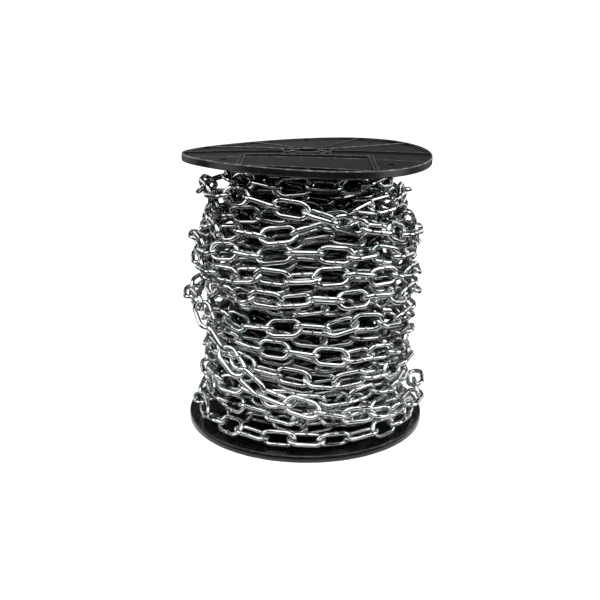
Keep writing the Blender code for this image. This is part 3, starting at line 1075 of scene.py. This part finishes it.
    def cut(self, thing: Object) -> None:
        """Cuts the holes and the pocket into the blank, and clears the pale edges inside the cuts.
        """
        shape = bmesh.new()
        for x, y, radius in self.holes():
            sizes = {"radius1": radius, "radius2": radius, "depth": 4 * self.thickness}
            spot, sides = Matrix.Translation((x, y, 0)), self.hole_sides
            bmesh.ops.create_cone(shape, cap_ends=True, segments=sides, matrix=spot, **sizes)
        self.add_pocket(shape)
        bmesh.ops.recalc_face_normals(shape, faces=shape.faces)
        mesh = bpy.data.meshes.new("cutters")
        shape.to_mesh(mesh)
        shape.free()
        cutter = bpy.data.objects.new("cutters", mesh)
        bpy.context.scene.collection.objects.link(cutter)
        cut = thing.modifiers.new("cuts", "BOOLEAN")
        cut.object = cutter
        graph = bpy.context.evaluated_depsgraph_get()
        carved = bpy.data.meshes.new_from_object(thing.evaluated_get(graph))
        inner, outer = self.hub_radius + self.sink, self.radius - 1.1 * self.rim_width
        for point, wear_and_highlight in zip(carved.vertices, carved.attributes["wear_and_highlight"].data):
            if inner < point.co.xy.length < outer:
                wear_and_highlight.value = 0.0
        thing.modifiers.clear()
        thing.data = carved
        bpy.data.objects.remove(cutter)

    @staticmethod
    def ray(angle: int, start: float, end: float) -> list[tuple[float, float]]:
        """Two points at an angle, from a start radius to an end radius."""
        turn = math.radians(angle)
        way = Vector((math.sin(turn), -math.cos(turn)))
        return [tuple(way * radius) for radius in (start, end)]

    def ribs(self) -> Iterator[Rib]:
        """The spokes, the hub's ticks, the panel's four ribs and low line, and the gate nubs."""
        bottom, top, width = self.rib_start * self.web, self.rib_height, self.rib_width
        buried = self.radius - self.rib_end * self.rim_width
        for angle, wear_and_highlight in zip(self.spoke_angles, self.spoke_wear_and_highlight):
            start, end = self.ray(angle, self.hub_radius - self.sink, buried)
            yield Rib(start, end, width, bottom, top, wear_and_highlight=wear_and_highlight)
        # The hub's ticks, the panel's side bars and the gate nubs get full wear and painted
        # highlight.
        for angle in self.hub_ticks:
            start, end = self.ray(angle, self.bore_radius + self.tick_inset, self.hub_radius)
            yield Rib(start, end, width, bottom, self.thickness, 2, 1.0)
        start = self.panel_back - self.panel_side_reach
        end = math.sqrt(buried**2 - (self.panel_half_width + 0.5 * self.panel_side_width) ** 2)
        for x in (-self.panel_half_width, self.panel_half_width):
            yield Rib((x, -start), (x, -end), self.panel_side_width, bottom, top, wear_and_highlight=1.0)
        front = math.sqrt(buried**2 - (self.panel_front + 0.5 * width) ** 2)
        line = math.sqrt(buried**2 - self.panel_line**2)
        for half, y, height in (
            (front, self.panel_front, top),
            (self.panel_half_width, self.panel_back, top),
            (line, self.panel_line, self.web + self.panel_line_height),
        ):
            yield Rib((-half, -y), (half, -y), width, bottom, height)
        width, length = self.gate_nub
        for y in (-1, 1):
            start, end = y * (buried - length), y * buried
            yield Rib((0, start), (0, end), width, self.pocket_floor, self.thickness, 2, 1.0)

    def add_ribs(self, thing: Object) -> None:
        """Adds the ribs to the blank, once it is cut."""
        shape = bmesh.new()
        shape.from_mesh(thing.data)
        wear_and_highlight = shape.verts.layers.float["wear_and_highlight"]
        for rib in self.ribs():
            rib.add_to(shape, wear_and_highlight)
        shape.to_mesh(thing.data)
        shape.free()
        thing.data.set_sharp_from_angle(angle=SHARP_EDGE)

    def place(self, thing: Object) -> None:
        """Springs the flange out of flat, and sets it on its end of the reel."""
        for vertex in thing.data.vertices:
            x, y = vertex.co.xy
            lift = self.end.dome * (1 - (x**2 + y**2) / self.radius**2)
            vertex.co.z += self.end.warp * x * y + lift
        if self.end is FlangeEnd.TOP:
            spot = Matrix.Translation((0, 0, self.reel_height - self.thickness))
        else:
            spot = Matrix.Translation((0, 0, self.thickness)) @ Matrix.Rotation(math.pi, 4, "X")
        thing.data.transform(spot)

    def build(self) -> None:
        """Builds the whole flange in place."""
        thing = self.blank()
        self.cut(thing)
        self.add_ribs(thing)
        self.place(thing)
        part_piece(thing, PLASTIC_SLOT, self.end.node)


@dataclass
class Barrel:
    """The tube between the flanges, whose CAD shape is right as it is."""

    material: Material
    node: str = "barrel"

    def dress(self) -> None:
        """Gives the CAD node its finish."""
        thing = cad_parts[self.node]
        thing.data.materials.clear()
        thing.data.materials.append(self.material)
        log.info("%s: dressed", self.node)


# The studio


@dataclass(frozen=True)
class Softbox:
    """A soft rectangular light: where it stands, its size and how bright its face is."""

    name: str
    place: Triple
    size: tuple[float, float]
    brightness: float
    target: Triple = (0.0, 0.0, 0.14)

    def build(self) -> None:
        """Hangs the light."""
        light = bpy.data.lights.new(self.name, "AREA")
        light.shape = "RECTANGLE"
        light.size, light.size_y = self.size
        light.energy = self.brightness * math.pi * light.size * light.size_y
        lamp = bpy.data.objects.new(self.name, light)
        lamp.location = self.place
        heading = Vector(self.target) - Vector(self.place)
        lamp.rotation_euler = heading.to_track_quat("-Z", "Y").to_euler()
        lamp.visible_camera = False
        bpy.context.scene.collection.objects.link(lamp)


@dataclass
class Studio:
    """The pale floor, the lights and the camera."""

    floor_size: float = 40.0
    cards: tuple[tuple[float, float], ...] = ((0.123, 0.150), (0.190, 6.0))
    card_height: float = 0.002
    card_corner_step: int = 10
    air: float = 1.13
    camera_distance: float = 0.840
    camera_height: float = 0.376
    camera_aside: float = -0.006
    pitch: float = 16.9
    roll: float = 0.3
    lens: float = 51.96
    clip: tuple[float, float] = (0.01, 50.0)
    lights: tuple[Softbox, ...] = (
        Softbox("overhead_softbox", (0.0, -0.60, 1.15), (1.6, 0.9), 3.2),
        Softbox("front_softbox", (0.0, -1.70, 0.98), (1.5, 0.45), 3.0, (0.0, 0.0, 0.2)),
        Softbox("left_softbox", (-1.20, -0.35, 0.55), (0.7, 1.0), 2.6),
        Softbox("right_softbox", (1.20, -0.25, 0.55), (0.7, 1.0), 3.9),
        Softbox("back_left_panel", (-1.6, 1.5, 0.60), (1.6, 1.2), 1.1),
        Softbox("back_right_panel", (1.6, 1.5, 0.60), (1.6, 1.2), 1.2),
        Softbox("back_sheen", (0.0, 2.6, 0.60), (3.2, 1.2), 0.15, (0.0, 0.0, 0.27)),
    )

    def build_floor(self) -> None:
        """Lays the floor, and on it two rings of black card that only mirrors see."""
        half = 0.5 * self.floor_size
        signs, face = [(-1, -1, 0), (1, -1, 0), (1, 1, 0), (-1, 1, 0)], np.array([(0, 1, 2, 3)])
        floor = new_object("floor", half * np.array(signs), face, {}, StudioPaper().make())
        turns = np.radians(np.arange(0, 360, self.card_corner_step))
        ring = np.stack([np.cos(turns), np.sin(turns), np.zeros_like(turns)], axis=1)
        lift = np.array((0, 0, self.card_height))
        faces = ring_faces(2, len(turns))[: len(turns)]
        finish = {"Base Color": (0.01, 0.01, 0.01, 1.0), "Roughness": 1.0}
        black = Graph("black_card").finish(finish)
        for number, (inner, outer) in enumerate(self.cards, 1):
            points = np.concatenate([inner * ring + lift, outer * ring + lift])
            card = new_object(f"black_card_{number}", points, faces, {}, black)
            card.visible_camera = card.visible_diffuse = card.visible_shadow = False

    def build_air(self) -> None:
        """Fills the room with even light, which shows in no mirror."""
        world = bpy.data.worlds.new("studio_air")
        world.use_nodes = True
        sky = world.node_tree.nodes["Background"]
        sky.inputs["Color"].default_value = (1.0, 1.0, 1.0, 1.0)
        sky.inputs["Strength"].default_value = self.air
        world.cycles_visibility.glossy = False
        bpy.context.scene.world = world

    def build_camera(self) -> None:
        """Sets the camera where the photograph was taken from."""
        camera = bpy.data.objects.new("camera", bpy.data.cameras.new("camera"))
        camera.data.lens = self.lens
        camera.data.clip_start, camera.data.clip_end = self.clip
        aim = Matrix.Rotation(math.radians(90 - self.pitch), 4, "X")
        turn = Matrix.Rotation(math.radians(self.roll), 4, "Z")
        spot = Matrix.Translation((self.camera_aside, -self.camera_distance, self.camera_height))
        camera.matrix_world = spot @ aim @ turn
        bpy.context.scene.collection.objects.link(camera)
        bpy.context.scene.camera = camera

    def build(self) -> None:
        """Builds the studio."""
        self.build_floor()
        self.build_air()
        for light in self.lights:
            light.build()
        self.build_camera()
        bpy.context.scene.view_settings.view_transform = "Standard"
        log.info("studio: %d lights", len(self.lights))


def main() -> None:
    """Builds the dressed reel and its studio."""
    logging.basicConfig(level=logging.INFO, format="%(message)s")
    zinc, plastic = ZincPlate().make(), MouldedPlastic().make()
    chain = OuterChain(zinc)
    chain.build()
    BuriedChain(chain).build()
    for end in FlangeEnd:
        Flange(end, plastic).build()
    Barrel(plastic).dress()
    Studio().build()


if __name__ == "__main__":
    main()
